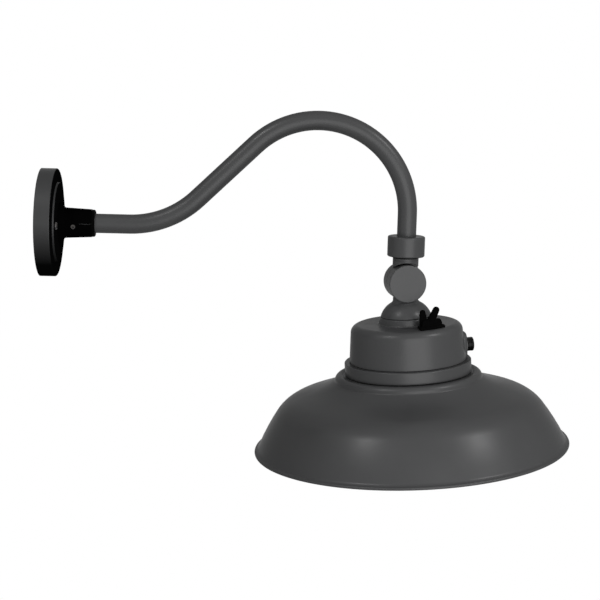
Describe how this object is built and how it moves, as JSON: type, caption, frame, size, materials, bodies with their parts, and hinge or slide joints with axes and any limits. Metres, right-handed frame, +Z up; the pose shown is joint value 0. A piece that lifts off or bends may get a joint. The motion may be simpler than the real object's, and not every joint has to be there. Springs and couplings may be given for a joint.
{
  "type": "gooseneck wall light",
  "caption": "Barn-style wall light: round wall plate, bent gooseneck tube, swivel and tilt knuckle, LED driver housing with sensor and selector, and a wide flared metal shade.",
  "frame": {"origin": "centre of the two box-screw slots, in the plane of the wall plate's back face, on the wall", "axes": "+X out from the wall, +Z up, the arm in the XZ plane"},
  "size_m": [0.5937, 0.3544, 0.3869],
  "materials": {
    "painted_aluminium": "satin black powder coat",
    "hub_black": "deep black powder coat",
    "zinc_steel": "zinc plated",
    "black_steel": "black oxide",
    "green_steel": "green, marks the earth screw",
    "black_rubber": "matte",
    "grey_foam": "closed-cell foam",
    "white_silicone": "matte",
    "board_white": "white solder mask",
    "led_yellow": "phosphor",
    "opal_lens": "frosted",
    "driver_case": "plain",
    "terminal_white": "nylon",
    "switch_black": "plain",
    "knob_white": "plain",
    "sensor_black": "gloss",
    "sensor_lens": "smoked"
  },
  "bodies": {
    "mount": {"wall_plate": "painted_aluminium", "wall_gasket": "grey_foam", "mounting_bracket": "zinc_steel", "plate_screws": "black_steel", "ground_screw": "green_steel", "arm_hub": "hub_black", "hub_lock_nut": "zinc_steel", "hub_set_screw": "black_steel", "hub_seal": "black_rubber", "gooseneck_arm": "painted_aluminium", "swivel_collar": "painted_aluminium", "collar_set_screw": "black_steel"},
    "swivel": {"swivel_friction_ring": "zinc_steel", "swivel_nut": "zinc_steel", "swivel_washer": "black_rubber", "knuckle_upper": "painted_aluminium", "knuckle_bolt": "black_steel", "knuckle_seal": "black_rubber"},
    "head": {"knuckle_lower": "painted_aluminium", "dome_cap": "painted_aluminium", "dome_gasket": "black_rubber", "stem_nut": "zinc_steel", "housing": "painted_aluminium", "housing_gasket": "black_rubber", "housing_screws": "zinc_steel", "photocell_gasket": "white_silicone", "photocell_body": "sensor_black", "photocell_lens": "sensor_lens", "photocell_nut": "sensor_black", "selector_switch": "switch_black", "heat_sink": "painted_aluminium", "led_board": "board_white", "led_chips": "led_yellow", "board_screws": "zinc_steel", "led_driver": "driver_case", "driver_screws": "zinc_steel", "terminal_block": "terminal_white", "shade_gasket": "black_rubber", "shade": "painted_aluminium", "lens_gasket": "white_silicone", "diffuser_lens": "opal_lens", "lens_ring": "painted_aluminium", "lens_ring_screws": "black_steel"},
    "cover": {"switch_cover": "black_rubber"},
    "power_knob": {"power_knob": "knob_white"},
    "colour_knob": {"colour_knob": "knob_white"}
  },
  "joints": [
    {"name": "head_swivel", "type": "hinge", "parent": "mount", "child": "swivel", "pos_m": [0.40326, 0, -0.0303], "axis": [0, 0, 1], "range_deg": [-97.85, 82.15]},
    {"name": "head_tilt", "type": "hinge", "parent": "swivel", "child": "head", "pos_m": [0.40326, 0, -0.0574], "axis": [-0.1366, 0.9906, 0], "range_deg": [-85.75, 54.25]},
    {"name": "cover_pull", "type": "slide", "parent": "head", "child": "cover", "axis": [-0.0734, -0.0101, 0.9973], "range_m": [0, 0.03]},
    {"name": "power_slide", "type": "slide", "parent": "head", "child": "power_knob", "axis": [0.9879, 0.1362, 0.0741], "range_m": [-0.0025, 0.0025]},
    {"name": "colour_slide", "type": "slide", "parent": "head", "child": "colour_knob", "axis": [0.9879, 0.1362, 0.0741], "range_m": [-0.0025, 0.0025]}
  ]
}
